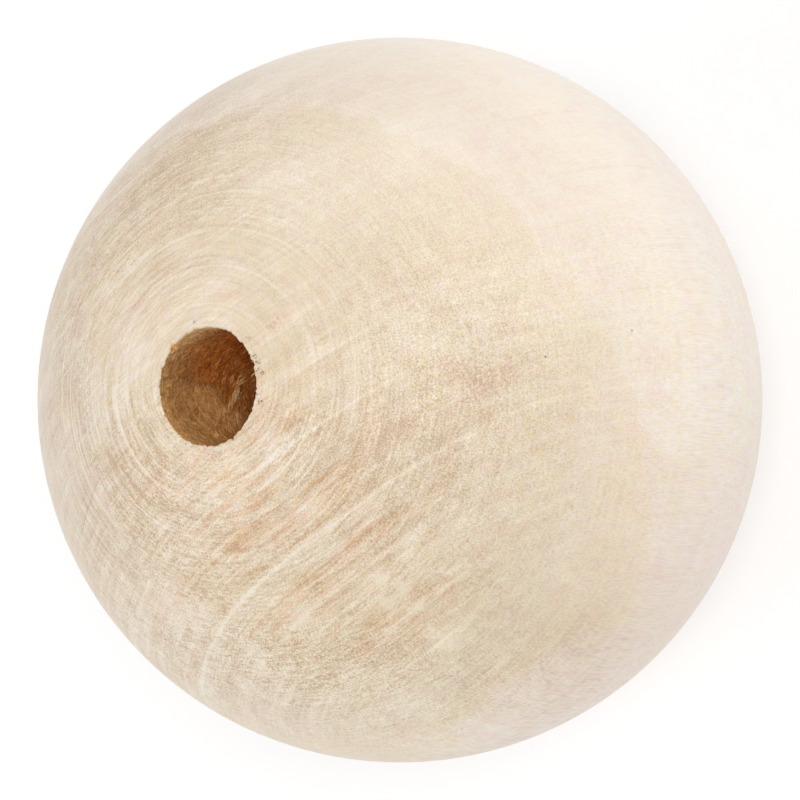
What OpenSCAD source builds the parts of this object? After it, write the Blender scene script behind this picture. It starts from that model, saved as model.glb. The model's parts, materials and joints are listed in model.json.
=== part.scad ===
// Turned wooden bead: a ball bored right through along its grain, with both mouths lightly eased.
// The origin is the centre of the ball and +Z runs along the bore, so the bead stands upright
// on the rim of its lower mouth.

/* [Ball] */
// Diameter of the turned ball
ball_d = 50; // [20:0.5:100]

/* [Bore] */
// Diameter of the hole drilled right through the ball
bore_d = 8; // [2:0.1:14]
// Radius of the small round that eases the edge of each mouth
mouth_ease_r = 0.2; // [0.1:0.05:1]

/* [Hidden] */
// Smoothness of the large and the small rounds
ball_facets = 96;
ease_facets = 32;

ball_r = ball_d / 2;
bore_r = bore_d / 2;

// Centre of the easing round in the half section: it touches the bore wall and, from inside, the ball
ease_x = bore_r + mouth_ease_r;
ease_z = sqrt(pow(ball_r - mouth_ease_r, 2) - pow(ease_x, 2));
ease_centre = [ease_x, ease_z];
ease_outward = ease_centre / norm(ease_centre);
// Reach of the corner that is cut away before the round is set in, well past the sharp edge
corner_reach = 2 * mouth_ease_r;

// Half section of the ball to one side of the bore, with sharp mouths
module sharp_half_section() {
    intersection() {
        circle(ball_r, $fn = ball_facets);
        translate([bore_r, -ball_r])
            square([ball_r, ball_d]);
    }
}

// Corner at the upper mouth, between the two points where the round meets the bore wall and the ball
module mouth_corner() {
    polygon([
        ease_centre,
        ease_centre + corner_reach * ease_outward,
        ease_centre + corner_reach * [-1, 1],
        ease_centre + corner_reach * [-1, 0],
    ]);
}

// The part of the easing round that fills that corner
module eased_corner() {
    intersection() {
        mouth_corner();
        translate(ease_centre)
            circle(mouth_ease_r, $fn = ease_facets);
    }
}

module half_section() {
    difference() {
        sharp_half_section();
        for (end = [0, 1])
            mirror([0, end])
                mouth_corner();
    }
    for (end = [0, 1])
        mirror([0, end])
            eased_corner();
}

module bead() {
    color([0.91, 0.84, 0.74])
        rotate_extrude($fn = ball_facets)
            half_section();
}

bead();
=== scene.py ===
import json
import math
import random

import bpy
import numpy as np
from mathutils import Matrix, Vector, noise


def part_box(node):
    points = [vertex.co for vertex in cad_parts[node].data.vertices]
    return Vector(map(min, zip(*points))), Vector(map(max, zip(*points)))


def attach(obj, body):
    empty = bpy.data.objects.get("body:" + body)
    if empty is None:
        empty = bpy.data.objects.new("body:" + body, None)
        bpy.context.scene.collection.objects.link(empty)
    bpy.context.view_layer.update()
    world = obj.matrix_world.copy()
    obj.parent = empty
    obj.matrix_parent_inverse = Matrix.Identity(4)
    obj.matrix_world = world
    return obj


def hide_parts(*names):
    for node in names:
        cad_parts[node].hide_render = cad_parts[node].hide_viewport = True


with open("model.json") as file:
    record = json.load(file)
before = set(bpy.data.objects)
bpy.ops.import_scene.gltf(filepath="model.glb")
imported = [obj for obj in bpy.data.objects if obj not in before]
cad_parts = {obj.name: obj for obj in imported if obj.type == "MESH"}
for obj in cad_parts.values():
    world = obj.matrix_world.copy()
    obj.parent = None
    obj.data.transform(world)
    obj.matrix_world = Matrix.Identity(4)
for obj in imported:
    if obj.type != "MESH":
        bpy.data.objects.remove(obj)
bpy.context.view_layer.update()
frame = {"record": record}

# Sizes in millimetres, read from the frame
MM = 0.001
bead_low, bead_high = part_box("bead")
BALL_R = bead_high[0] / MM
TOP_Z = bead_high[2] / MM
BORE_R = frame["record"]["mounts"][0]["dims"]["r_mm"]
WALL_HALF = frame["record"]["mounts"][0]["dims"]["length_mm"] / 2
EASE_R = TOP_Z - WALL_HALF
RIM_R = BORE_R + EASE_R


def radii(low, high, start=0.0, end=1.0):
    """A fade between two places, given in ball radii, with the values at both."""
    return low * BALL_R, high * BALL_R, start, end


# The photograph's view, in which the bead's outline is a circle of this radius
PICTURE_PX = 800
OUTLINE_PX = 362.5
VIEW_ELEVATION = 58.15
VIEW_ROLL = 86.0
VIEW_DISTANCE = 45 * BALL_R
SENSOR_MM = 36.0
CLIP_END = 50

# Lamps: name, direction in the picture (right, up, back), distance and size in metres, share of white
# on a surface that faces it
LAMPS = [
    ("key", (0.36, 0.82, 0.4), 1.5, 1.1, 0.39),
    ("side", (-0.85, -0.3, 0.3), 1.5, 0.9, 0.25),
    ("front", (0.0, 0.0, 1.0), 1.6, 0.4, 0.29),
]
# The same share from the surroundings
AMBIENT = 0.475
WHITE = (1, 1, 1, 1)
# Floor: size and gap below the bead in metres, light that it throws back, and how it shows
FLOOR_SIZE = 8.0
FLOOR_GAP = 0.00005
FLOOR_BOUNCE = 0.98
FLOOR_GLOW = 0.55
FLOOR_SHADE = 0.52

# Growth rings: flat layers that face this way, and drift aside towards their two ends
RING_ANGLE = 39.0
NEAR_DRIFT = radii(0.0, 0.38, 0.0, 0.4)
FAR_DRIFT = radii(-0.6, -0.92, 0.0, 1.6)
# Waves in the layers: number per millimetre, stretch along the grain, height
LAYER_WAVES = [(0.1, 0.2, 0.3), (0.5, 0.1, 0.12)]
# Tone of the layers across the bead: place in millimetres, tone from dark to pale
RING_TONES = [
    (-25.0, 0.66), (-21.0, 0.66), (-19.8, 0.48), (-18.5, 0.38), (-17.4, 0.52), (-16.7, 0.6),
    (-15.6, 0.52), (-14.4, 0.48), (-13.9, 0.34), (-13.1, 0.52), (-12.3, 0.64), (-11.7, 0.4),
    (-11.1, 0.56), (-10.5, 0.4), (-9.5, 0.36), (-8.6, 0.46), (-7.7, 0.62), (-6.7, 0.66), (-5.9, 0.48),
    (-5.2, 0.58), (-3.6, 0.5), (-3.0, 0.62), (-2.0, 0.42), (0.5, 0.5), (6.2, 0.6), (8.3, 0.44),
    (10.3, 0.58), (11.2, 0.46), (14.6, 0.4), (17.3, 0.34), (18.6, 0.72), (25.0, 0.66),
]
# The clearest lines along the layers: place, strength (dark below nought), half width
RING_LINES = [
    (-20.8, 0.14, 0.25), (-20.2, -0.12, 0.2), (-19.3, -0.1, 0.18), (-18.9, 0.12, 0.18),
    (-18.45, -0.22, 0.2), (-17.9, 0.12, 0.18), (-17.45, -0.16, 0.16), (-16.7, 0.14, 0.2),
    (-16.3, -0.14, 0.18), (-15.55, 0.16, 0.2), (-15.1, -0.08, 0.15), (-14.35, 0.16, 0.16),
    (-13.95, -0.32, 0.22), (-13.3, 0.1, 0.16), (-11.85, -0.28, 0.2), (-11.05, 0.22, 0.2),
    (-10.75, -0.14, 0.14), (-10.25, -0.14, 0.16), (-9.5, -0.2, 0.2), (-9.1, 0.16, 0.16),
    (-8.75, -0.12, 0.12), (-8.1, -0.16, 0.16), (-7.65, 0.2, 0.18), (-7.25, -0.26, 0.18),
    (-6.85, 0.28, 0.18), (-6.15, 0.16, 0.18), (-5.8, -0.2, 0.18), (-5.0, 0.12, 0.2),
    (-3.6, -0.18, 0.2), (-3.1, 0.24, 0.22),
]
# The palest of them runs on unbroken
MAIN_LINE = (-12.3, 0.56, 0.25)
# Share of red-brown streaks in the layers across the bead
RED_LAYERS = [
    (-22.0, 0.0), (-20.2, 0.3), (-18.6, 0.7), (-16.8, 0.35), (-15.4, 0.6), (-13.9, 1.0), (-12.7, 0.1),
    (-11.8, 0.6), (-10.3, 1.0), (-8.6, 0.9), (-6.6, 0.6), (-3.2, 0.8), (0.0, 0.6), (2.5, 0.3), (8.5, 0.5),
    (12.0, 0.5), (17.3, 0.3), (20.0, 0.0),
]

# The clearest turning lines round the bore: degrees from its axis, strength, half width
TURNING_LINES = [
    (12.6, 0.16, 0.12), (16.1, 0.32, 0.16), (18.8, 0.34, 0.18), (21.9, 0.18, 0.12), (25.1, 0.3, 0.16),
    (27.6, 0.24, 0.15), (29.8, 0.24, 0.15), (32.2, 0.22, 0.15), (35.8, 0.2, 0.15), (38.6, 0.26, 0.15),
    (42.1, 0.18, 0.14), (44.1, 0.2, 0.14), (49.8, 0.2, 0.14), (51.3, 0.24, 0.14), (56.8, 0.24, 0.14),
]
# The brightest is a short arc, with its way round the bore last
BRIGHT_ARC = (18.8, 0.38, 0.26, 128.0)
# The lathe's axis leans a little from the drilled bore
TURNING_LEAN_X = 0.0087
TURNING_LEAN_Y = 0.0044

# Points of the mesh round the bore, and the seed of the random draws
SEGMENTS = 300
SEED = 11


def srgb(red, green, blue):
    """A colour written in screen values from 0 to 255, as the shaders take it."""
    linear = []
    for value in (red, green, blue):
        share = value / 255
        linear.append(share / 12.92 if share <= 0.04045 else ((share + 0.055) / 1.055) ** 2.4)
    return (*linear, 1.0)


def smooth(low, high, value):
    """A smooth step from 0 at low to 1 at high, on arrays."""
    share = np.clip((value - low) / (high - low), 0, 1)
    return share * share * (3 - 2 * share)


def wander(columns, offset=0.0):
    """Smooth random values, about -1 to 1, at points whose coordinates are the columns."""
    points = np.stack(np.broadcast_arrays(*columns), -1).reshape(-1, 3) + offset
    values = np.fromiter((noise.noise(point) for point in points), float, len(points))
    return values.reshape(np.broadcast(*columns).shape)


# Camera and light


def make_camera():
    elevation = math.radians(VIEW_ELEVATION)
    roll = math.radians(VIEW_ROLL)
    back = Vector((0, -math.cos(elevation), math.sin(elevation)))
    level_right = Vector((1, 0, 0))
    level_up = back.cross(level_right)
    right = math.cos(roll) * level_right - math.sin(roll) * level_up
    up = math.sin(roll) * level_right + math.cos(roll) * level_up
    data = bpy.data.cameras.new("camera")
    data.sensor_width = SENSOR_MM
    reach = math.sqrt((VIEW_DISTANCE / BALL_R) ** 2 - 1)
    data.lens = SENSOR_MM * OUTLINE_PX * reach / PICTURE_PX
    data.clip_end = CLIP_END
    camera = bpy.data.objects.new("camera", data)
    turn = Matrix((right, up, back)).transposed().to_4x4()
    camera.matrix_world = Matrix.Translation(back * VIEW_DISTANCE * MM) @ turn
    bpy.context.scene.collection.objects.link(camera)
    bpy.context.scene.camera = camera
    return right, up, back


def softbox(name, direction, distance, size, level):
    """A square lamp that faces the bead and renders white at the given level by itself."""
    data = bpy.data.lights.new(name, "AREA")
    data.shape = "SQUARE"
    data.size = size
    data.energy = level * math.pi**2 * distance**2
    lamp = bpy.data.objects.new(name, data)
    direction = direction.normalized()
    lamp.location = direction * distance
    lamp.rotation_euler = direction.to_track_quat("Z", "Y").to_euler()
    bpy.context.scene.collection.objects.link(lamp)


class Graph:
    """Short names for the shader nodes that the materials are made of."""

    def __init__(self, tree):
        self.tree = tree
        tree.nodes.clear()

    def add(self, kind, inputs=None, **settings):
        node = self.tree.nodes.new("ShaderNode" + kind)
        for name, value in settings.items():
            setattr(node, name, value)
        for key, value in (inputs or {}).items():
            self.put(node.inputs[key], value)
        return node

    def put(self, socket, value):
        if isinstance(value, bpy.types.NodeSocket):
            self.tree.links.new(value, socket)
        else:
            socket.default_value = value

    def math(self, operation, a, b=0.0, c=0.0):
        return self.add("Math", {0: a, 1: b, 2: c}, operation=operation).outputs[0]

    def times(self, a, b):
        return self.math("MULTIPLY", a, b)

    def times_plus(self, a, b, c):
        return self.math("MULTIPLY_ADD", a, b, c)

    def plus(self, a, b):
        return self.math("ADD", a, b)

    def minus(self, a, b):
        return self.math("SUBTRACT", a, b)

    def larger(self, a, b):
        return self.math("MAXIMUM", a, b)

    def absolute(self, a):
        return self.math("ABSOLUTE", a)

    def span(self, value, low, high, start=0.0, end=1.0, curve="LINEAR"):
        inputs = {"Value": value, "From Min": low, "From Max": high, "To Min": start, "To Max": end}
        return self.add("MapRange", inputs, interpolation_type=curve).outputs[0]

    def step(self, value, low, high, start=0.0, end=1.0):
        return self.span(value, low, high, start, end, "SMOOTHSTEP")

    def vector(self, x, y, z):
        return self.add("CombineXYZ", {0: x, 1: y, 2: z}).outputs[0]

    def noise(self, vector, scale=1.0, detail=2.0, roughness=0.5):
        inputs = {"Vector": vector, "Scale": scale, "Detail": detail, "Roughness": roughness}
        return self.add("TexNoise", inputs).outputs["Fac"]

    def mix(self, factor, a, b, blend="MIX"):
        node = self.add("Mix", data_type="RGBA", blend_type=blend)
        self.put(node.inputs["Factor"], factor)
        self.put(node.inputs[6], a)
        self.put(node.inputs[7], b)
        return node.outputs[2]

    def ramp(self, factor, stops):
        """A ramp through (place, colour) stops."""
        node = self.add("ValToRGB", {"Fac": factor})
        elements = node.color_ramp.elements
        while len(elements) < len(stops):
            elements.new(0.5)
        for element, (place, colour) in zip(elements, stops):
            element.position = place
            element.color = colour
        return node.outputs["Color"]

    def tones(self, factor, stops):
        """A grey ramp through (place, tone) stops."""
        return self.ramp(factor, [(place, (tone, tone, tone, 1)) for place, tone in stops])

    def colours(self, factor, stops):
        """A ramp through (place, screen colour) stops."""
        return self.ramp(factor, [(place, srgb(*colour)) for place, colour in stops])

    def bump(self, height, distance, strength=1.0):
        inputs = {"Height": height, "Distance": distance, "Strength": strength}
        return self.add("Bump", inputs).outputs["Normal"]


def new_material(name, kind=Graph):
    material = bpy.data.materials.new(name)
    material.use_nodes = True
    return material, kind(material.node_tree)


def finish_surface(graph, colour, roughness, normal=None, specular=0.5):
    shader = graph.add("BsdfPrincipled")
    graph.put(shader.inputs["Base Color"], colour)
    graph.put(shader.inputs["Roughness"], roughness)
    shader.inputs["Specular IOR Level"].default_value = specular
    if normal is not None:
        graph.put(shader.inputs["Normal"], normal)
    output = graph.add("OutputMaterial")
    graph.tree.links.new(shader.outputs[0], output.inputs["Surface"])


# Studio


def make_studio(right, up, back):
    for name, (to_right, to_up, to_back), distance, size, level in LAMPS:
        direction = right * to_right + up * to_up + back * to_back
        softbox(name, direction, distance, size, level)
    world = bpy.data.worlds.new("studio")
    bpy.context.scene.world = world
    world.use_nodes = True
    graph = Graph(world.node_tree)
    strength = graph.span(seen_ray(graph), 0, 1, AMBIENT, 1.0)
    background = graph.add("Background", {"Color": WHITE, "Strength": strength})
    output = graph.add("OutputWorld")
    graph.tree.links.new(background.outputs[0], output.inputs["Surface"])


def seen_ray(graph):
    """1 for rays that end in the eye directly, by gloss or through glass."""
    path = graph.add("LightPath")
    gloss = graph.larger(path.outputs["Is Glossy Ray"], path.outputs["Is Transmission Ray"])
    return graph.larger(path.outputs["Is Camera Ray"], gloss)


def grey(level):
    return (level, level, level, 1.0)


def make_floor():
    """A white floor that shows near white and keeps a soft shadow."""
    half = FLOOR_SIZE / 2
    level = bead_low[2] - FLOOR_GAP
    mesh = bpy.data.meshes.new("floor")
    corners = [(-half, -half, level), (half, -half, level), (half, half, level), (-half, half, level)]
    mesh.from_pydata(corners, [], [(0, 1, 2, 3)])
    floor = bpy.data.objects.new("floor", mesh)
    bpy.context.scene.collection.objects.link(floor)
    material, graph = new_material("floor_white")
    bounce = graph.add("BsdfDiffuse", {"Color": grey(FLOOR_BOUNCE)})
    shade = graph.add("BsdfDiffuse", {"Color": grey(FLOOR_SHADE)})
    glow = graph.add("Emission", {"Color": WHITE, "Strength": FLOOR_GLOW})
    shown = graph.add("AddShader", {0: shade.outputs[0], 1: glow.outputs[0]})
    choice = graph.add("MixShader", {0: seen_ray(graph), 1: bounce.outputs[0], 2: shown.outputs[0]})
    output = graph.add("OutputMaterial")
    graph.tree.links.new(choice.outputs[0], output.inputs["Surface"])
    mesh.materials.append(material)


# The bead's mesh

# Chips in the edge of each mouth: angle round the bore, width in degrees, pull outwards
UPPER_CHIPS = [
    (52, 5, 0.22), (-50, 5, -0.05), (-62, 4, 0.07), (70, 8, -0.06), (-20, 5, 0.05), (155, 7, 0.05),
]
LOWER_CHIPS = [(20, 8, 0.25), (140, 12, 0.15), (-100, 8, 0.16), (-150, 9, -0.1)]
CHIP_FALL = 2
# Nicks and burrs between them: number, widths in degrees, pulls
NICKS = 80
NICK_WIDTHS = (0.9, 2.2)
NICK_PULLS = (-0.08, 0.11)
# Waves along the edge: height, fineness, shift in the noise; and each mouth's own shift
EDGE_WAVES = [(0.020, 3.0, 0.0), (0.035, 16.0, 5.0)]
UPPER_SHIFT = 1.0
LOWER_SHIFT = 31.0
# How far the tear reaches over the ball and down the wall, and how much a chip lowers the edge
TEAR_ON_BALL = 0.4
TEAR_ON_WALL = 0.35
CHIP_SINK = 0.25
# The mouths are a little oval: how much narrower towards the front and the back
OVAL_FRONT = 0.07
OVAL_BACK = 0.01

# The tool's ridges: height everywhere, height added at the mouths and its fade in radians
RIDGE_HEIGHT = 0.003
RIDGE_AT_MOUTH = 0.010
RIDGE_FADE = 0.5
RIDGE_WIDTH = 0.6
RIDGE_TURNS = 0.6
RIDGE_SHIFT = 3.0

# Rows of the mesh on the ball, close near the mouths: degrees from the axis, numbers of rows
UPPER_ROWS_TO = 50
LOWER_ROWS_FROM = 130
UPPER_ROWS = 56
MIDDLE_ROWS = 32
LOWER_ROWS = 38
RIM_STEPS = 10
# Rows on the wall: depths of the mouth's part and of the torn part, numbers of rows
MOUTH_DEPTH = 1.2
WALL_DEPTH = 15
UPPER_WALL_ROWS = (10, 112)
LOWER_WALL_ROWS = (8, 30)
INNER_ROWS = 12

# Roughness of the wall: height, size round the bore, size along it, shift in the noise
WALL_WAVES = [(0.08, 0.9, 1.6, 7.0), (0.06, 0.3, 0.5, 19.0), (0.03, 0.15, 0.2, 43.0)]
# Depth at which it is in full
ROUGH_DEPTH = 0.8
# The band of longer fibres below the upper mouth: degrees round the bore, depth, lean
FRINGE = [(80, 10.0, -50), (85, 9.8, -40), (95, 9.6, -20), (105, 9.1, 0), (113, 8.4, 20), (123, 6.5, 45)]
# The torn ledge that ends at this band: its sides in degrees round the bore, height, fade below
LEDGE_START = (87.0, 89.5)
LEDGE_STOP = (170.0, 150.0)
LEDGE_HEIGHT = 0.10
LEDGE_FADE = 0.5


def nicks(draw):
    for _ in range(NICKS):
        yield draw.uniform(-180, 180), draw.uniform(*NICK_WIDTHS), draw.uniform(*NICK_PULLS)


def rim_pull(angle, chips, shift):
    """How far the edge of a mouth is torn outwards at each angle, in millimetres."""
    ragged = 0 * angle
    for height, fineness, more in EDGE_WAVES:
        circle = fineness * np.cos(angle), fineness * np.sin(angle), 0 * angle
        ragged = ragged + height * wander(circle, shift + more)
    draw = random.Random(SEED + int(shift))
    for place, width, pull in [*chips, *nicks(draw)]:
        away = (np.degrees(angle) - place + 180) % 360 - 180
        ragged = ragged + pull * np.exp(-CHIP_FALL * (away / width) ** 2)
    return ragged


def ball_stations():
    """Angles from the axis of the ball's rows: close near the mouths, wider round the middle."""
    first = math.asin(RIM_R / (BALL_R - EASE_R))
    upper_end = math.radians(UPPER_ROWS_TO)
    lower_start = math.radians(LOWER_ROWS_FROM)
    upper = np.linspace(first, upper_end, UPPER_ROWS, endpoint=False)
    middle = np.linspace(upper_end, lower_start, MIDDLE_ROWS, endpoint=False)
    lower = np.linspace(lower_start, math.pi - first, LOWER_ROWS)
    return np.concatenate([upper, middle, lower])


def make_bead_mesh():
    angle = np.linspace(0, 2 * math.pi, SEGMENTS, endpoint=False)
    upper = rim_pull(angle, UPPER_CHIPS, UPPER_SHIFT)
    lower = rim_pull(angle, LOWER_CHIPS, LOWER_SHIFT)
    rows = [ball_row(theta, angle, upper, lower) for theta in ball_stations()]
    rows += rim_rows(angle, lower, -1)
    rows += bore_rows(angle, upper, lower)
    rows += rim_rows(angle, upper, 1)
    return grid_mesh("bead_wood", np.stack(rows))


def circle_row(angle, radius, height):
    """Points all round the axis, with a radius and a height for each angle."""
    return np.stack([radius * np.cos(angle), radius * np.sin(angle), 0 * angle + height], -1)


def ball_row(theta, angle, upper, lower):
    """One circle of the turned surface, with the tool's fine ridges and the torn edge of a near mouth."""
    near = min(theta, math.pi - theta)
    pull = upper if theta < math.pi / 2 else lower
    torn = pull * math.exp(-(BALL_R * math.sin(near) - RIM_R) / TEAR_ON_BALL)
    radius = BALL_R * math.sin(near) + torn
    height = math.copysign(BALL_R * math.cos(near), math.pi / 2 - theta)
    ridge = RIDGE_AT_MOUTH * math.exp(-near / RIDGE_FADE) + RIDGE_HEIGHT
    circle = theta * BALL_R / RIDGE_WIDTH, RIDGE_TURNS * np.cos(angle), RIDGE_TURNS * np.sin(angle)
    swell = (BALL_R + ridge * wander(circle, RIDGE_SHIFT)) / np.hypot(radius, height)
    return circle_row(angle, radius * swell, height * swell)


def oval(angle):
    across = np.sin(angle)
    return 1 - np.where(across < 0, OVAL_FRONT, OVAL_BACK) * across**2


def rim_rows(angle, pull, end):
    """The eased edge of a mouth: from the ball to the wall at the lower end, and back at the upper."""
    lean = math.asin(RIM_R / (BALL_R - EASE_R))
    turns = np.linspace(lean, -math.pi / 2, RIM_STEPS)[1:-1]
    if end > 0:
        turns = turns[::-1]
    rows = []
    for turn in turns:
        radius = (RIM_R + EASE_R * math.sin(turn) + pull) * oval(angle)
        height = end * (WALL_HALF + EASE_R * math.cos(turn) - CHIP_SINK * np.maximum(pull, 0))
        rows.append(circle_row(angle, radius, height))
    return rows


def wall_depths(mouth_rows, wall_rows):
    """Depths of the rows below one mouth."""
    mouth = np.linspace(0, MOUTH_DEPTH, mouth_rows, endpoint=False)
    return np.concatenate([mouth, np.linspace(MOUTH_DEPTH, WALL_DEPTH, wall_rows)])


def bore_rows(angle, upper, lower):
    """The drilled wall from the lower mouth to the upper one, rough where the grain tore."""
    from_lower = wall_depths(*LOWER_WALL_ROWS) - WALL_HALF
    middle = np.linspace(-WALL_HALF + WALL_DEPTH, WALL_HALF - WALL_DEPTH, INNER_ROWS)[1:-1]
    to_upper = (WALL_HALF - wall_depths(*UPPER_WALL_ROWS))[::-1]
    rows = []
    for height in np.concatenate([from_lower, middle, to_upper]):
        depth = WALL_HALF - abs(height)
        pull = upper if height > 0 else lower
        rough = wall_roughness(angle, height) * smooth(0.0, ROUGH_DEPTH, depth)
        radius = (BORE_R + rough) * oval(angle) + pull * math.exp(-depth / TEAR_ON_WALL)
        rows.append(circle_row(angle, radius, height))
    return rows


def wall_roughness(angle, height):
    """Lumps, fuzz and grit on the bore wall, and the torn ledge, in millimetres outwards."""
    round_x = BORE_R * np.cos(angle)
    round_y = BORE_R * np.sin(angle)
    rough = 0 * angle
    for size, across, along, shift in WALL_WAVES:
        place = round_x / across, round_y / across, 0 * angle + height / along
        rough = rough + size * wander(place, shift)
    return rough - torn_ledge(angle, WALL_HALF - height)


def torn_ledge(angle, depth):
    """How far the torn part of the wall below the upper mouth stands proud of the part beside it."""
    degrees = np.degrees(angle) % 360
    part = smooth(*LEDGE_START, degrees) * smooth(*LEDGE_STOP, degrees)
    places, depths, _ = zip(*FRINGE)
    end = np.interp(degrees, places, depths)
    return LEDGE_HEIGHT * part * smooth(end + LEDGE_FADE, end, depth)


def grid_mesh(name, points):
    """A closed mesh from rows of points that wrap both ways."""
    rows, columns = points.shape[:2]
    row, column = np.meshgrid(np.arange(rows), np.arange(columns), indexing="ij")
    next_row = (row + 1) % rows
    next_column = (column + 1) % columns
    faces = np.stack(
        [row * columns + column, next_row * columns + column,
         next_row * columns + next_column, row * columns + next_column], -1
    ).reshape(-1, 4)
    return smooth_mesh(name, points.reshape(-1, 3), faces.tolist())


def smooth_mesh(name, points, faces):
    mesh = bpy.data.meshes.new(name)
    mesh.from_pydata((np.asarray(points) * MM).tolist(), [], faces)
    mesh.polygons.foreach_set("use_smooth", np.ones(len(faces), bool))
    mesh.update()
    return mesh


# Torn fibres on the bore wall

# Each hair: sides, rings, how far it bends over and how much it tapers
FIBRE_SIDES = 4
FIBRE_RINGS = 4
FIBRE_BEND = 0.5
FIBRE_TAPER = 0.6
ROOT_DEPTH = 0.02
# Its curl: middle and spread round the bore and along it, and the range outwards
CURL_ROUND = (0.1, 0.6)
CURL_ALONG = (0, 0.6)
CURL_OUT = (-0.4, 0.3)
# Ranges of length, width and lift off the wall
TUFT_HAIRS = ((0.25, 0.6), (0.05, 0.085), (0.2, 0.7))
CHIP_HAIRS = ((0.12, 0.26), (0.06, 0.1), (0.1, 0.5))
FUZZ_HAIRS = ((0.25, 0.6), (0.05, 0.09), (0.05, 0.35))
# Tufts: hairs in each, and spread in degrees round the bore, in depth and in lean
TUFT_COUNT = (3, 6)
TUFT_ROUND = 1.8
TUFT_DEPTH = 0.16
TUFT_LEAN = 26
# Tufts along the fringe, and their spread in depth
FRINGE_TUFTS = 26
FRINGE_SPREAD = 0.18
# Torn patches beside it: degrees round the bore, depth, lean, tufts; and the tufts' spread
TORN_PATCHES = [(124, 9.1, 40, 8), (137, 7.2, 30, 6), (150, 4.6, 10, 4)]
PATCH_ROUND = 3
PATCH_DEPTH = 0.4
# Splinters in the upper mouth's chip: number, place round the bore and spread, depths, lean
CHIP_COUNT = 20
CHIP_ANGLE = 55.0
CHIP_SPREAD = 2.0
CHIP_DEPTHS = (0.0, 0.4)
CHIP_LEAN = 40
# Fuzz: hairs, end of the bore, degrees round it, depths; the wall is torn most at the second row
FUZZ = [
    (240, 1, (-180, 180), (0.1, 14.0)),
    (150, 1, (76, 140), (4.0, 12.5)),
    (300, -1, (-180, 180), (0.1, 14.0)),
]
FUZZ_LEANS = (-80, 80)


def fibre_rings(root, heading, bend, length, width):
    """Points of one tapered hair that leaves its root along heading and bends over, with its tip last."""
    side = heading.cross(bend).normalized()
    across = side.cross(heading).normalized()
    points = []
    for ring in range(FIBRE_RINGS):
        share = ring / FIBRE_RINGS
        middle = root + heading * length * share + bend * length * FIBRE_BEND * share**2
        reach = width / 2 * (1 - FIBRE_TAPER * share)
        for corner in range(FIBRE_SIDES):
            turn = 2 * math.pi * corner / FIBRE_SIDES
            points.append(middle + (side * math.cos(turn) + across * math.sin(turn)) * reach)
    points.append(root + heading * length + bend * length * FIBRE_BEND)
    return points


def fibre_faces(first):
    """Faces of one hair whose points start at the given number: sides, pointed tip and closed root."""
    faces = [[first + corner for corner in range(FIBRE_SIDES)][::-1]]
    tip = first + FIBRE_RINGS * FIBRE_SIDES
    for ring in range(FIBRE_RINGS):
        for corner in range(FIBRE_SIDES):
            here = first + ring * FIBRE_SIDES + corner
            beside = first + ring * FIBRE_SIDES + (corner + 1) % FIBRE_SIDES
            if ring < FIBRE_RINGS - 1:
                faces.append([here, beside, beside + FIBRE_SIDES, here + FIBRE_SIDES])
            else:
                faces.append([here, beside, tip])
    return faces


def wall_fibre(draw, degrees, depth, end, lean, lift, length, width):
    """One curled hair on the bore wall below a mouth; its lean is in degrees from straight round it."""
    angle = math.radians(degrees)
    turn = math.radians(lean)
    outward = Vector((math.cos(angle), math.sin(angle), 0))
    around = Vector((math.sin(angle), -math.cos(angle), 0))
    upward = Vector((0, 0, 1))
    height = end * (WALL_HALF - depth)
    rough = float(wall_roughness(np.array([angle]), height)[0])
    root = outward * float((BORE_R + rough + ROOT_DEPTH) * oval(angle)) + upward * height
    heading = around * math.cos(turn) + upward * math.sin(turn) - outward * lift
    curl = around * draw.gauss(*CURL_ROUND)
    curl = curl + upward * draw.gauss(*CURL_ALONG)
    curl = curl - outward * draw.uniform(*CURL_OUT)
    return fibre_rings(root, heading.normalized(), curl, length, width)


def tuft(draw, degrees, depth, lean):
    """A few hairs close together that lean about the same way."""
    lengths, widths, lifts = TUFT_HAIRS
    for _ in range(draw.randint(*TUFT_COUNT)):
        size = draw.uniform(*lengths), draw.uniform(*widths)
        here = degrees + draw.gauss(0, TUFT_ROUND), depth + draw.gauss(0, TUFT_DEPTH)
        way = lean + draw.gauss(0, TUFT_LEAN), draw.uniform(*lifts)
        yield wall_fibre(draw, *here, 1, *way, *size)


def fringe_fibres(draw):
    """Tufts of longer fibres in a curved band and patches on the wall below the upper mouth."""
    places, depths, leans = zip(*FRINGE)
    for _ in range(FRINGE_TUFTS):
        place = draw.uniform(places[0], places[-1])
        depth = np.interp(place, places, depths) + draw.gauss(0, FRINGE_SPREAD)
        yield from tuft(draw, place, depth, np.interp(place, places, leans))
    for place, depth, lean, tufts in TORN_PATCHES:
        for _ in range(tufts):
            here = place + draw.gauss(0, PATCH_ROUND), depth + draw.gauss(0, PATCH_DEPTH)
            yield from tuft(draw, *here, lean)


def chip_fibres(draw):
    """Pale splinters left in the chip of the upper mouth."""
    lengths, widths, lifts = CHIP_HAIRS
    for _ in range(CHIP_COUNT):
        size = draw.uniform(*lengths), draw.uniform(*widths)
        here = CHIP_ANGLE + draw.gauss(0, CHIP_SPREAD), draw.uniform(*CHIP_DEPTHS)
        way = draw.gauss(0, CHIP_LEAN), draw.uniform(*lifts)
        yield wall_fibre(draw, *here, 1, *way, *size)


def fuzz_fibres(draw):
    """Short curled fibres on the wall near both mouths."""
    lengths, widths, lifts = FUZZ_HAIRS
    for count, end, sector, depths in FUZZ:
        for _ in range(count):
            size = draw.uniform(*lengths), draw.uniform(*widths)
            here = draw.uniform(*sector), draw.uniform(*depths)
            way = draw.uniform(*FUZZ_LEANS), draw.uniform(*lifts)
            yield wall_fibre(draw, *here, end, *way, *size)


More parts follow.
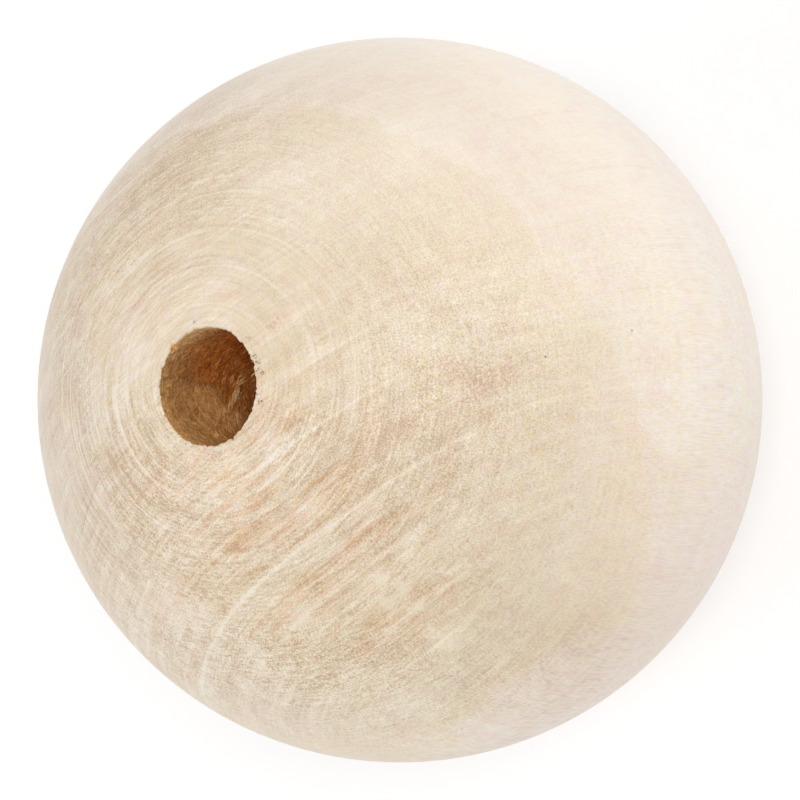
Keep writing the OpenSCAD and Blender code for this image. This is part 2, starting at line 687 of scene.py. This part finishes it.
def place_fibres(name, hairs, tones):
    points = [point for hair in hairs for point in hair]
    size = len(hairs[0])
    faces = [face for number in range(len(hairs)) for face in fibre_faces(number * size)]
    mesh = smooth_mesh(name, points, faces)
    mesh.materials.append(fibre_material(name, tones))
    place_piece(name, mesh)


def make_fibres():
    draw = random.Random(SEED)
    place_fibres("torn_fibres", [*fringe_fibres(draw), *chip_fibres(draw)], TORN_TONES)
    place_fibres("wall_fuzz", [*fuzz_fibres(draw)], FUZZ_TONES)


# Materials

# Roughness of the noise in the patterns, and how far rings run along the grain
PATTERN_ROUGHNESS = 0.6
RING_GRAIN = 0.3
# Nearest that the lathe's circles come to their axis
LEAST_RADIUS = 0.1


def wood_point(g):
    """The place in the wood, in millimetres."""
    place = g.add("TexCoord").outputs["Object"]
    per_mm = (1 / MM, 1 / MM, 1 / MM)
    return g.add("VectorMath", {0: place, 1: per_mm}, operation="MULTIPLY").outputs[0]


class Wood(Graph):
    """A graph with the places in the wood that patterns are drawn by, as sockets in millimetres."""

    def __init__(self, tree):
        super().__init__(tree)
        self.point = wood_point(self)
        self.x, self.y, self.z = self.add("SeparateXYZ", {0: self.point}).outputs
        from_centre = self.add("VectorMath", {0: self.point}, operation="LENGTH").outputs["Value"]
        self.sunk = self.minus(BALL_R, from_centre)
        self.find_circles()
        self.find_layers()

    def find_circles(self):
        """The way round the lathe's axis, and the distance from that axis over the ball."""
        lathe_x = self.times_plus(self.z, -TURNING_LEAN_X, self.x)
        lathe_y = self.times_plus(self.z, -TURNING_LEAN_Y, self.y)
        squares = self.times_plus(lathe_x, lathe_x, self.times(lathe_y, lathe_y))
        radius = self.larger(self.math("SQRT", squares), LEAST_RADIUS)
        self.round_x = self.math("DIVIDE", lathe_x, radius)
        self.round_y = self.math("DIVIDE", lathe_y, radius)
        self.tool_arc = self.times(self.math("ARCTAN2", radius, self.z), BALL_R)

    def find_layers(self):
        """Depth through the growth layers, which drift and are a little wavy, and the way along them."""
        turn = math.radians(RING_ANGLE)
        across = self.times(self.y, math.sin(turn))
        across = self.times_plus(self.x, math.cos(turn), across)
        along = self.times(self.x, -math.sin(turn))
        self.along = self.times_plus(self.y, math.cos(turn), along)
        layer = self.plus(across, self.step(self.along, *FAR_DRIFT))
        layer = self.minus(layer, self.step(self.along, *NEAR_DRIFT))
        waves = []
        for per_mm, stretch, height in LAYER_WAVES:
            spot = self.vector(self.x, self.y, self.times(self.z, stretch))
            waves.append((self.noise(spot, per_mm, 1.0), height))
        self.layer = weighted(self, layer, *waves)

    def rings(self, per_mm, stretch, detail=2.0):
        """Noise in thin layers that run on along the rings and the grain."""
        spot = self.vector(
            self.times(self.layer, per_mm),
            self.times(self.along, per_mm * stretch),
            self.times(self.z, per_mm * stretch * RING_GRAIN),
        )
        return self.noise(spot, 1.0, detail, PATTERN_ROUGHNESS)

    def fibres(self, per_mm, stretch, detail=2.0):
        """Noise drawn out along the grain: dots on the end grain, streaks on the sides."""
        spot = self.vector(self.x, self.y, self.times(self.z, stretch))
        return self.noise(spot, per_mm, detail, PATTERN_ROUGHNESS)

    def tool_marks(self, per_mm, per_turn, detail=1.0):
        """Noise in circles round the bore, as a turning tool leaves its marks."""
        spot = self.vector(
            self.times(self.round_x, per_turn),
            self.times(self.round_y, per_turn),
            self.times(self.tool_arc, per_mm),
        )
        return self.noise(spot, 1.0, detail, PATTERN_ROUGHNESS)


def weighted(g, start, *terms):
    """The start value plus each (socket, weight), with the sockets centred on a half."""
    total = start
    for socket, weight in terms:
        centred = g.minus(socket, 0.5)
        total = g.times_plus(centred, weight, total)
    return total


def patterns(make, rows):
    """The noise and the weight of each (number per millimetre, stretch, weight)."""
    return [(make(per_mm, stretch), weight) for per_mm, stretch, weight in rows]


def product(g, first, *others):
    for other in others:
        first = g.times(first, other)
    return first


# Broad patches of paler and darker wood, partly the wood's own tone and partly painted light and painted
# shade, such as a painted highlight round the upper mouth: place in millimetres, radius, tone
BROAD_PATCHES_AND_PAINTED_LIGHT = [
    ((2.0, 7.3, 23.8), 7.0, 0.3), ((-15.7, -18.7, 5.6), 6.0, -0.14), ((-18.2, -14.1, 9.7), 5.0, -0.16),
    ((14.7, -3.5, 19.9), 7.0, 0.18), ((17.5, -9.0, 15.4), 7.0, 0.22), ((-22.7, -9.5, 4.1), 6.0, 0.22),
    ((-2.8, -13.2, 21.0), 8.0, -0.28), ((-7.6, 6.7, 22.9), 8.0, -0.18), ((16.1, 9.7, 16.5), 9.0, -0.24),
    ((-14.2, -20.2, 4.3), 9.0, -0.16), ((20.4, 10.5, 10.0), 8.0, -0.28), ((-3.0, 15.1, 19.7), 7.0, -0.12),
    ((-12.5, 12.2, 17.9), 7.0, -0.12), ((5.3, 0.8, 24.4), 5.0, 0.2), ((-14.9, -5.2, 19.4), 3.5, 0.2),
    ((-15.5, 4.7, 19.0), 4.0, 0.22), ((0.4, -17.6, 17.8), 4.0, -0.12), ((-4.9, -24.2, 4.1), 5.0, -0.1),
    ((8.9, -19.1, 13.5), 6.0, 0.14), ((-13.9, -17.3, 11.5), 5.0, -0.14), ((-3.9, -7.0, 23.7), 3.5, -0.15),
]
# Colours from dark to pale
END_GRAIN = [
    (0.0, (202, 174, 140)), (0.25, (218, 198, 172)), (0.5, (231, 215, 191)), (0.75, (240, 226, 205)),
    (1.0, (249, 241, 228)),
]
SIDE_GRAIN = [
    (0.0, (224, 207, 186)), (0.25, (236, 222, 204)), (0.5, (244, 232, 217)), (0.75, (248, 239, 227)),
    (1.0, (252, 247, 240)),
]
PALE_SIDE = [
    (0.0, (214, 195, 176)), (0.25, (229, 213, 197)), (0.5, (239, 226, 214)), (0.75, (245, 235, 225)),
    (1.0, (251, 245, 238)),
]
RED_STAIN = (0.96, 0.79, 0.67, 1.0)
WARM_STAIN = (1.0, 0.96, 0.91, 1.0)
LOW_PALE = (1.0, 0.96, 0.975, 1.0)
PINK_STAIN = (1.0, 0.955, 0.985, 1.0)
YELLOW_STAIN = (1.0, 0.985, 0.895, 1.0)
SIDE_TINT = (0.975, 0.99, 1.03, 1.0)
OUTER_BORE = [
    (0.0, (116, 78, 38)), (0.35, (170, 124, 68)), (0.65, (200, 151, 92)), (1.0, (240, 200, 140)),
]
# Paler colours of the lower side of the wall: painted light
LOW_BORE_LIT = [
    (0.0, (156, 108, 56)), (0.35, (228, 174, 102)), (0.65, (250, 202, 130)), (1.0, (255, 232, 178)),
]
# Red-brown of the inner wall: painted shade
INNER_BORE_SHADE = [
    (0.0, (114, 58, 16)), (0.35, (184, 106, 34)), (0.65, (212, 136, 56)), (1.0, (240, 186, 106)),
]
TORN_TONES = [(0.0, (255, 200, 120)), (1.0, (255, 230, 166))]
FUZZ_TONES = [(0.0, (206, 138, 70)), (1.0, (250, 210, 142))]

# Marks on the wood: places in millimetres and radii
PALE_FLECKS = [
    ((-13.7, -11.4, 17.5), 1.2), ((-12.7, -12.4, 17.6), 1.0), ((-12.1, -11.1, 18.8), 0.8),
    ((-14.0, -12.5, 16.5), 0.8), ((-16.2, -13.5, 13.5), 1.2), ((-15.5, -12.9, 14.7), 0.7),
    ((-11.3, -15.1, 16.5), 0.5), ((-10.9, -15.6, 16.2), 0.5), ((-10.7, -16.1, 15.9), 0.5),
]
STAINS = [
    ((2.3, -15.9, 19.1), 1.6), ((1.8, -17.5, 17.8), 1.9), ((2.4, -18.6, 16.5), 1.4),
    ((-1.5, -13.7, 20.8), 1.0), ((4.7, -4.6, 24.1), 0.8),
]
DARK_SPECKS = [((3.6, -20.2, 14.3), 0.13), ((5.8, -23.0, 7.9), 0.1)]
# Smudges of fine dark specks at the edge of the upper mouth
SMUDGES = [
    ((2.3, -3.5, 24.6), 0.3), ((1.9, -3.8, 24.6), 0.35), ((1.4, -3.8, 24.7), 0.3),
    ((1.2, -4.2, 24.6), 0.22), ((-0.4, -4.0, 24.7), 0.25), ((-0.8, -4.2, 24.6), 0.35),
    ((3.5, -2.9, 24.6), 0.25), ((4.3, 1.5, 24.6), 0.22),
]
FLECK_COLOUR = srgb(250, 240, 214)
STAIN_COLOUR = (0.88, 0.78, 0.75, 1.0)
SPECK_COLOUR = (0.42, 0.34, 0.28, 1.0)
# Dark scratches on the ball from one place to another
SCRATCHES = [((-6.0, 9.3, 22.4), (-10.7, 13.6, 18.0)), ((-5.2, 10.1, 22.3), (-6.0, 11.0, 21.7))]
SCRATCH_HALF = 0.09
SCRATCH_COLOUR = (0.78, 0.74, 0.68, 1.0)

# Fades: a range of noise or place, some with the strength at both its ends

# End grain towards each mouth; the wood between is side grain
UPPER_END = radii(0.06, 0.64)
LOWER_END = radii(-0.55, -0.85)
# Weights of the rings in the tone, and where they show in full
PALE_RINGS = 0.85
DARK_RINGS = -0.35
MAIN_RINGS = 0.42
CLEAR_RINGS = radii(-0.75, 0.05, 0.35, 1.0)
# Finer rings: number per millimetre, stretch along the layers, weight
FINE_RINGS = [(2.2, 0.05, 0.3), (5.0, 0.03, 0.45), (1.6, 0.18, 0.35)]
# The clearest ring lines fade in and out along their length
RING_BREAKS = (0.35, 0.5)
RING_FADE = (0.36, 0.6, 0.35, 1.0)
MAIN_LINE_FADE = radii(-0.7, -0.15, 0.3, 1.0)
FAR_RINGS = radii(0.35, 0.55, 1.0, 0.6)
# Broken lines of the layers, dark on side grain and pale on end grain: number per millimetre,
# half width in the noise, breaks per millimetre; and weight
SIDE_LINES = (1.6, 0.02, 0.8)
SIDE_LINE_WEIGHT = -0.16
END_LINES = (1.1, 0.05, 0.3)
END_LINE_WEIGHT = 0.20
LINE_STRETCH = 0.015
BREAK_STRETCH = 0.3
LINE_BREAKS = (0.4, 0.6)

# Specks: number per millimetre, stretch along the grain; and weight
SPECKS = (9.5, 0.06)
SPECK_WEIGHT = 2.0
# Pores and clouds the same way, weight last
BLOTCHES = [(2.4, 0.05, 0.3), (0.6, 0.3, 0.5)]
# Where the specks show more or less
SPECK_ENDS = radii(0.38, 0.82, 0.54, 1.08)
SPECK_LAYERS = radii(0.12, -0.2, 0.6, 1.0)
SPECK_BACK = radii(-0.2, 0.4, 1.0, 1.6)
SPECK_FAR = radii(0.35, 0.6, 1.0, 0.7)
SPECK_BESIDE = (0.1, -0.4, 0.62, 0.98)
SPECK_MOUTH = radii(0.25, 0.6)[:2]
SPECK_LOW = radii(-0.55, -0.8, 1.0, 2.0)
SPECK_HIGH = radii(0.55, 0.85, 1.0, 0.95)

# Turning marks: number per millimetre from the bore, number round it; and weight beside the lines
TOOL_LINES = (4.2, 2.2)
TOOL_BANDS = (1.2, 2.0)
TOOL_BAND_WEIGHT = 0.5
TOOL_DASHES = (7.0, 16.0)
TOOL_DASH_WEIGHT = radii(-0.3, 0.15, 0.45, 0.9)
# Where they show more or less
TOOL_UPPER = (-0.4, 0.5, 0.45, 0.8)
TOOL_LOWER = (0.3, 0.75, 0.75, 1.28)
TOOL_LOWER_ALONG = radii(-0.5, 0.1, 0.6, 1.0)
TOOL_HALVES = (0.3, -0.4)
TOOL_NEAR = radii(1.05, 0.35, 0.32, 1.0)
# The clearest circles fade in and out round the bore
CIRCLE_BREAKS = (0.8, 2.6)
CIRCLE_FADE = (0.38, 0.62, 0.05, 1.0)
ARC_FADE = (0.78, 0.95)

# Red-brown streaks: number per millimetre, stretch along the layers
STREAKS = (4.5, 0.07)
STREAK_FADE = (0.4, 0.6)
STREAK_PATCHES = (0.5, 0.3)
STREAK_PATCH_FADE = (0.36, 0.56, 0.2, 1.0)
DASH_FADE = (0.5, 0.72, 0.0, 0.8)
RED_ON_LINES = 2.4
RED_NEAR = radii(-0.42, -0.05, 0.15, 1.0)
RED_FAR = radii(0.2, 0.5, 1.0, 0.45)

# The edge of the pale side wood: slope, waves per millimetre with their height, places
PALE_SLOPE = -0.42
PALE_WAVES = (0.25, 5.0)
PALE_FROM = (8.1, 7.2)
PALE_LAYER_WAVES = (0.4, 1.6)
PALE_WAVE_DETAIL = 4.0
PALE_FIRST = radii(-0.945, -0.965)
PALE_LAST = radii(0.775, 0.815)
PALE_LAST_BACK = radii(0.5, 0.62)
# How far the pale side's colours show beyond that edge and along the layers
PALE_EDGE_SHARE = 0.5
PALE_ALONG = radii(0.25, 0.65, 0.0, 0.45)
# Where the side grain is warmer, and where the pale side is pinker
WARM_FADE = (0.75, 0.35)
LOW_PALE_FADE = radii(0.0, -0.4)

# Yellower and pinker patches: number per millimetre, stretch along the grain, weight
YELLOW_PATCHES = [(0.22, 0.6, 0.5), (2.0, 0.4, 1.2)]
YELLOW_FADE = (0.37, 0.69)
YELLOW_HIGH = radii(0.25, 0.6, 1.0, 0.5)
YELLOW_LOW = radii(-0.2, -0.6, 0.0, 0.7)
PINK_PATCHES = (0.9, 0.4)
PINK_FADE = (0.46, 0.66)
SIDE_TINT_FADE = radii(0.2, -0.15)

# Marks: ragged edges, mottling and dots per millimetre, and how strongly the marks show
RAGGED_WAVES = 1.6
RAGGED_DETAIL = 3.0
RAGGED_REACH = 1.8
MOTTLE = 4.5
DOTS = 7.0
SPOT_CORE = 0.3
FLECK_STRENGTH = 0.48
STAIN_FADE = (0.36, 0.62)
SMUDGE_FADE = (0.44, 0.6)
# Distances from a scratch's middle at which it ends and is in full, as shares of its length
SCRATCH_END = 0.55
SCRATCH_FULL = 0.40

# Depth below the ball's surface at which the look of the bore takes over, and the roughness of both
BORE_FROM = (0.1, 0.22)
WOOD_ROUGHNESS = 0.42
BORE_ROUGHNESS = 0.8
# Fine relief: share of the turning lines beside the specks, height in metres, strength
RELIEF_LINES = 0.8
RELIEF_HEIGHT = 0.00003
RELIEF_STRENGTH = 0.6


def layer_tones(g, stops):
    """A value for each layer from (place in millimetres, value) stops."""
    place = g.span(g.layer, -BALL_R, BALL_R)
    return g.tones(place, [((mm + BALL_R) / (2 * BALL_R), value) for mm, value in stops])


def line(g, place, middle, half, strength):
    """A thin soft line along one place."""
    away = g.absolute(g.minus(place, middle))
    return g.step(away, half, 0.0, 0.0, strength)


def circle_lines(g):
    """The clearest turning lines, each a thin pale circle that fades in and out round the bore."""
    total = 0.0
    for degrees, strength, half in TURNING_LINES:
        circle = line(g, g.tool_arc, math.radians(degrees) * BALL_R, half, strength)
        total = g.plus(circle, total)
    fade = g.step(g.tool_marks(*CIRCLE_BREAKS), *CIRCLE_FADE)
    return g.times_plus(total, fade, bright_arc(g))


def bright_arc(g):
    degrees, strength, half, way = BRIGHT_ARC
    turn = math.radians(way)
    facing = g.times(g.round_y, math.sin(turn))
    facing = g.times_plus(g.round_x, math.cos(turn), facing)
    circle = line(g, g.tool_arc, math.radians(degrees) * BALL_R, half, strength)
    return g.times(circle, g.step(facing, *ARC_FADE))


def ring_lines(g):
    """The clearest lines along the layers, pale and dark apart, fading in and out along their length."""
    fade = g.step(g.rings(*RING_BREAKS, 1.0), *RING_FADE)
    pale = 0.0
    dark = 0.0
    for place, strength, half in RING_LINES:
        ring = line(g, g.layer, place, half, abs(strength))
        if strength > 0:
            pale = g.plus(ring, pale)
        else:
            dark = g.plus(ring, dark)
    place, strength, half = MAIN_LINE
    main_line = line(g, g.layer, place, half, strength)
    main_line = g.times(main_line, g.step(g.along, *MAIN_LINE_FADE))
    pale = g.times_plus(pale, fade, main_line)
    far = g.step(g.along, *FAR_RINGS)
    return g.times(pale, far), product(g, dark, fade, far)


def red_streaks(g, dashes, dark_lines):
    """Where thin red-brown streaks lie along the rings, and dashes along the turning lines."""
    held = layer_tones(g, RED_LAYERS)
    streak = g.step(g.rings(*STREAKS), *STREAK_FADE)
    patch = g.step(g.rings(*STREAK_PATCHES, 1.0), *STREAK_PATCH_FADE)
    dash = g.step(dashes, *DASH_FADE)
    near = g.times(g.step(g.along, *RED_NEAR), g.step(g.along, *RED_FAR))
    streaks = product(g, g.larger(streak, dash), patch, held)
    streaks = g.larger(streaks, g.times(dark_lines, RED_ON_LINES))
    return g.times(streaks, near)


def layer_lines(g, per_mm, half, breaks):
    """Thin lines where layers of the wood come to the surface, broken up along their length."""
    lines = line(g, g.rings(per_mm, LINE_STRETCH, 1.0), 0.5, half, 1.0)
    return g.times(lines, g.step(g.fibres(breaks, BREAK_STRETCH), *LINE_BREAKS))


def speck_share(g):
    """How strongly the fine specks show: most at the ends, on the lower layers, and at the back."""
    beside = g.step(g.round_x, *SPECK_BESIDE)
    return product(
        g,
        g.step(g.absolute(g.z), *SPECK_ENDS),
        g.step(g.layer, *SPECK_LAYERS),
        g.step(g.y, *SPECK_BACK),
        g.step(g.along, *SPECK_FAR),
        g.step(g.tool_arc, *SPECK_MOUTH, beside, 1.0),
        g.step(g.x, *SPECK_LOW),
        g.step(g.x, *SPECK_HIGH),
    )


def tool_share(g):
    """How strongly the turning lines show: most round the mouth, and on one half of it."""
    upper = g.step(g.round_y, *TOOL_UPPER)
    lower = g.step(g.absolute(g.round_y), *TOOL_LOWER)
    lower = g.times(lower, g.step(g.along, *TOOL_LOWER_ALONG))
    half = g.step(g.round_x, *TOOL_HALVES, upper, lower)
    return g.times(half, g.step(g.tool_arc, *TOOL_NEAR))


def ring_tone(g, pale_rings, dark_rings):
    lines = g.times(pale_rings, PALE_RINGS)
    lines = g.times_plus(dark_rings, DARK_RINGS, lines)
    fine = patterns(g.rings, FINE_RINGS)
    return weighted(g, lines, (layer_tones(g, RING_TONES), MAIN_RINGS), *fine)


def speck_tone(g, specks, dashes):
    blotches = patterns(g.fibres, BLOTCHES)
    dash_weight = g.step(g.along, *TOOL_DASH_WEIGHT)
    return weighted(g, 0.0, (specks, SPECK_WEIGHT), *blotches, (dashes, dash_weight))


def tool_tone(g, tool_lines):
    bands = g.tool_marks(*TOOL_BANDS)
    return weighted(g, circle_lines(g), (tool_lines, 1.0), (bands, TOOL_BAND_WEIGHT))


def wood_material():
    material, g = new_material("bead_wood", Wood)
    specks = g.fibres(*SPECKS)
    tool_lines = g.tool_marks(*TOOL_LINES)
    dashes = g.tool_marks(*TOOL_DASHES)
    pale_rings, dark_rings = ring_lines(g)
    end_grain = g.larger(g.step(g.z, *UPPER_END), g.step(g.z, *LOWER_END))
    ringed = g.times(end_grain, g.step(g.along, *CLEAR_RINGS))

    # Broad patches: partly the wood's own tone, partly painted light and painted shade
    tone = g.plus(broad_tone_and_painted_light(g), 0.5)
    tone = g.times_plus(ring_tone(g, pale_rings, dark_rings), ringed, tone)
    tone = g.times_plus(speck_tone(g, specks, dashes), speck_share(g), tone)
    tone = g.times_plus(tool_tone(g, tool_lines), tool_share(g), tone)
    side_grain = g.minus(1.0, end_grain)
    side_lines = g.times(layer_lines(g, *SIDE_LINES), side_grain)
    tone = g.times_plus(side_lines, SIDE_LINE_WEIGHT, tone)
    end_lines = g.times(layer_lines(g, *END_LINES), ringed)
    tone = g.times_plus(end_lines, END_LINE_WEIGHT, tone)

    colour = grain_colour(g, tone, end_grain)
    red = g.times(red_streaks(g, dashes, dark_rings), end_grain)
    colour = g.mix(red, colour, RED_STAIN, "MULTIPLY")
    colour = tinted(g, colour)
    colour = marked(g, colour)
    colour = g.mix(g.step(g.sunk, *BORE_FROM), colour, bore_colour_light_and_shade(g))
    roughness = g.step(g.sunk, *BORE_FROM, WOOD_ROUGHNESS, BORE_ROUGHNESS)
    relief = weighted(g, g.times(tool_lines, RELIEF_LINES), (specks, 1.0))
    finish_surface(g, colour, roughness, g.bump(relief, RELIEF_HEIGHT, RELIEF_STRENGTH))
    return material


def grain_colour(g, tone, end_grain):
    """The colour of the clean wood for its tone: end grain, side grain and the pale side."""
    pale_edge = pale_wood(g)
    pale_side = g.times(pale_edge, PALE_EDGE_SHARE)
    pale_side = g.larger(pale_side, g.step(g.along, *PALE_ALONG))
    colour = g.mix(pale_side, g.colours(tone, END_GRAIN), g.colours(tone, PALE_SIDE))
    colour = g.mix(end_grain, g.colours(tone, SIDE_GRAIN), colour)
    warm = g.times(g.step(end_grain, *WARM_FADE), g.minus(1.0, pale_edge))
    colour = g.mix(warm, colour, WARM_STAIN, "MULTIPLY")
    low_pale = g.times(pale_edge, g.step(g.x, *LOW_PALE_FADE))
    return g.mix(low_pale, colour, LOW_PALE, "MULTIPLY")


def away_from(g, point, place):
    return g.add("VectorMath", {0: point, 1: place}, operation="DISTANCE").outputs["Value"]


def broad_tone_and_painted_light(g):
    """The broad patches' share of the tone, paler above nought: partly the wood's own tone, partly
    painted light and painted shade.
    """
    total = 0.0
    for place, radius, tone in BROAD_PATCHES_AND_PAINTED_LIGHT:
        patch = g.step(away_from(g, g.point, place), radius, 0.0, 0.0, tone)
        total = g.plus(patch, total)
    return total


def pale_wood(g):
    """Where the pale, pinkish wood of the sides begins: 0 on the end grain, 1 beyond a wavy edge."""
    per_mm, height = PALE_WAVES
    edge = g.times_plus(g.x, PALE_SLOPE, g.z)
    edge = weighted(g, edge, (g.fibres(per_mm, 1.0, PALE_WAVE_DETAIL), height))
    per_mm, height = PALE_LAYER_WAVES
    layer = weighted(g, g.layer, (g.fibres(per_mm, 1.0, PALE_WAVE_DETAIL), height))
    last = g.times(g.step(layer, *PALE_LAST), g.step(g.y, *PALE_LAST_BACK))
    layers = g.larger(g.step(layer, *PALE_FIRST), last)
    return g.larger(g.step(edge, *PALE_FROM), layers)


def tinted(g, colour):
    """Small patches of yellower and pinker wood, and the tint of the sides."""
    patches = weighted(g, 0.5, *patterns(g.fibres, YELLOW_PATCHES))
    yellow = g.step(patches, *YELLOW_FADE)
    yellow = g.times(yellow, g.step(g.x, *YELLOW_HIGH))
    yellow = g.larger(yellow, g.step(g.x, *YELLOW_LOW))
    colour = g.mix(yellow, colour, YELLOW_STAIN, "MULTIPLY")
    pink = g.step(g.fibres(*PINK_PATCHES), *PINK_FADE)
    colour = g.mix(pink, colour, PINK_STAIN, "MULTIPLY")
    return g.mix(g.step(g.z, *SIDE_TINT_FADE), colour, SIDE_TINT, "MULTIPLY")


def spots(g, point, places):
    """How far a point of the wood lies in any of the spots, from 0 to 1."""
    total = 0.0
    for place, radius in places:
        spot = g.step(away_from(g, point, place), radius, SPOT_CORE * radius)
        total = g.larger(spot, total)
    return total


def scratch(g, start, end):
    """How far a point of the wood lies in a scratch along the ball from start to end, from 0 to 1."""
    start = Vector(start)
    end = Vector(end)
    across = start.cross(end).normalized()
    length = (end - start).length
    off = g.add("VectorMath", {0: g.point, 1: across}, operation="DOT_PRODUCT").outputs["Value"]
    away = away_from(g, g.point, (start + end) / 2)
    ends = g.step(away, SCRATCH_END * length, SCRATCH_FULL * length)
    return g.times(g.step(g.absolute(off), SCRATCH_HALF, 0.0), ends)


def ragged_point(g):
    """The place in the wood, moved about so that marks get ragged edges."""
    inputs = {"Vector": g.point, "Scale": RAGGED_WAVES, "Detail": RAGGED_DETAIL}
    waves = g.add("TexNoise", inputs).outputs["Color"]
    off = g.add("VectorMath", {0: waves, 1: (0.5, 0.5, 0.5)}, operation="SUBTRACT").outputs[0]
    reach = (RAGGED_REACH, RAGGED_REACH, RAGGED_REACH)
    return g.add("VectorMath", {0: off, 1: reach, 2: g.point}, operation="MULTIPLY_ADD").outputs[0]


def marked(g, colour):
    """Pale flecks and a brown stain with ragged edges, smudges, dark specks and scratches."""
    ragged = ragged_point(g)
    mottle = g.step(g.noise(g.point, MOTTLE, 1.0), *STAIN_FADE)
    dots = g.step(g.noise(g.point, DOTS, 1.0), *SMUDGE_FADE)
    fleck = g.times(spots(g, ragged, PALE_FLECKS), FLECK_STRENGTH)
    stain = g.times(spots(g, ragged, STAINS), mottle)
    smudge = g.times(spots(g, g.point, SMUDGES), dots)
    colour = g.mix(fleck, colour, FLECK_COLOUR)
    colour = g.mix(stain, colour, STAIN_COLOUR, "MULTIPLY")
    colour = g.mix(smudge, colour, SPECK_COLOUR, "MULTIPLY")
    colour = g.mix(spots(g, g.point, DARK_SPECKS), colour, SPECK_COLOUR, "MULTIPLY")
    for start, end in SCRATCHES:
        colour = g.mix(scratch(g, start, end), colour, SCRATCH_COLOUR, "MULTIPLY")
    return colour


# The bore wall's noise: number per millimetre, detail, roughness; and weight beside the torn noise
BORE_TORN = (1.4, 3.0, 0.65)
BORE_FUZZ = (5.0, 2.0, 0.6)
BORE_FUZZ_WEIGHT = 1.4
BORE_STROKES = (1.5, 2.0, 0.6)
BORE_STROKE_WEIGHT = 0.7
STROKE_SQUASH = 4.0
# Tone at each depth, paler deep in as painted light, and how much paler the upper side is at the mouth,
# also painted light
BORE_TONE_DEEP_LIGHT = (8.0, 12.0, 0.5, 0.7)
MOUTH_PAINTED_LIGHT = (2.6, 0.3, 0.0, 0.5)
MOUTH_LIGHT_SIDE = (0.8, 3.2)
# Depth at which the wall turns from grey-brown to red-brown painted shade, soonest on the upper side that
# faces away from the key lamp: above, beside and below
SHADE_FROM_UPPER = 3.5
SHADE_FROM_SIDE = 7.2
SHADE_FROM_LOWER = 12.5
# Where above ends and below begins, how wavy those edges are, and the fade to the red-brown painted shade
UPPER_EDGE = (0.45, 0.0)
LOWER_EDGE = (-0.8, -2.2)
EDGE_WAVE = 0.9
SHADE_WAVE = 9.0
SHADE_FADE = (-2.0, 2.0)
# Where the paler colours of the lower side show: painted light on the side that faces the key lamp
LIT_LOW_SIDE = (0.25, -0.4)
LIT_LOW_DEPTH = (1.5, 5.5, 0.05, 1.0)
# Torn fibres: noise, its fade, roughness and shine
FIBRE_NOISE = (1.5, 2.0, 0.6)
FIBRE_FADE = (0.3, 0.7)
FIBRE_ROUGHNESS = 0.42
FIBRE_SHINE = 0.9


def bore_colour_light_and_shade(g):
    """The drilled wall: torn grain browned by the bit, with red-brown painted shade further in, and
    painted light that makes it paler on the lower side, at the upper side of the mouth and deep in.
    """
    torn = g.noise(g.point, *BORE_TORN)
    fuzz = g.noise(g.point, *BORE_FUZZ)
    squashed = g.vector(g.x, g.y, g.times(g.z, STROKE_SQUASH))
    strokes = g.noise(squashed, *BORE_STROKES)
    depth = g.minus(WALL_HALF, g.absolute(g.z))
    # Painted light: paler at the upper side of the mouth
    mouth = g.times(g.step(depth, *MOUTH_PAINTED_LIGHT), g.step(g.x, *MOUTH_LIGHT_SIDE))
    # Tone paler deep in and at the mouth: painted light
    tone = weighted(
        g,
        g.plus(g.step(depth, *BORE_TONE_DEEP_LIGHT), mouth),
        (torn, 1.0),
        (fuzz, BORE_FUZZ_WEIGHT),
        (strokes, BORE_STROKE_WEIGHT),
    )
    side = weighted(g, g.x, (torn, EDGE_WAVE))
    # Depth at which the painted shade begins: soonest above, latest below
    shade_from = g.step(side, *UPPER_EDGE, SHADE_FROM_UPPER, SHADE_FROM_SIDE)
    shade_from = g.plus(shade_from, g.step(side, *LOWER_EDGE, 0.0, SHADE_FROM_LOWER - SHADE_FROM_SIDE))
    inner_shade = weighted(g, g.minus(depth, shade_from), (torn, SHADE_WAVE))
    # Painted light on the lower side, which faces the key lamp
    low = g.times(g.step(side, *LIT_LOW_SIDE), g.step(depth, *LIT_LOW_DEPTH))
    outer = g.mix(low, g.colours(tone, OUTER_BORE), g.colours(tone, LOW_BORE_LIT))
    # Red-brown painted shade deeper in
    return g.mix(g.step(inner_shade, *SHADE_FADE), outer, g.colours(tone, INNER_BORE_SHADE))


def fibre_material(name, tones):
    """Torn wood, each hair a little different."""
    material, g = new_material(name)
    tone = g.step(g.noise(wood_point(g), *FIBRE_NOISE), *FIBRE_FADE)
    finish_surface(g, g.colours(tone, tones), FIBRE_ROUGHNESS, specular=FIBRE_SHINE)
    return material


def place_piece(name, mesh):
    piece = bpy.data.objects.new(name, mesh)
    bpy.context.scene.collection.objects.link(piece)
    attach(piece, "root")
    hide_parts("bead")


def make_bead():
    mesh = make_bead_mesh()
    mesh.materials.append(wood_material())
    place_piece("bead_wood", mesh)


def main():
    bpy.context.scene.view_settings.view_transform = "Standard"
    right, up, back = make_camera()
    make_studio(right, up, back)
    make_floor()
    make_bead()
    make_fibres()


main()
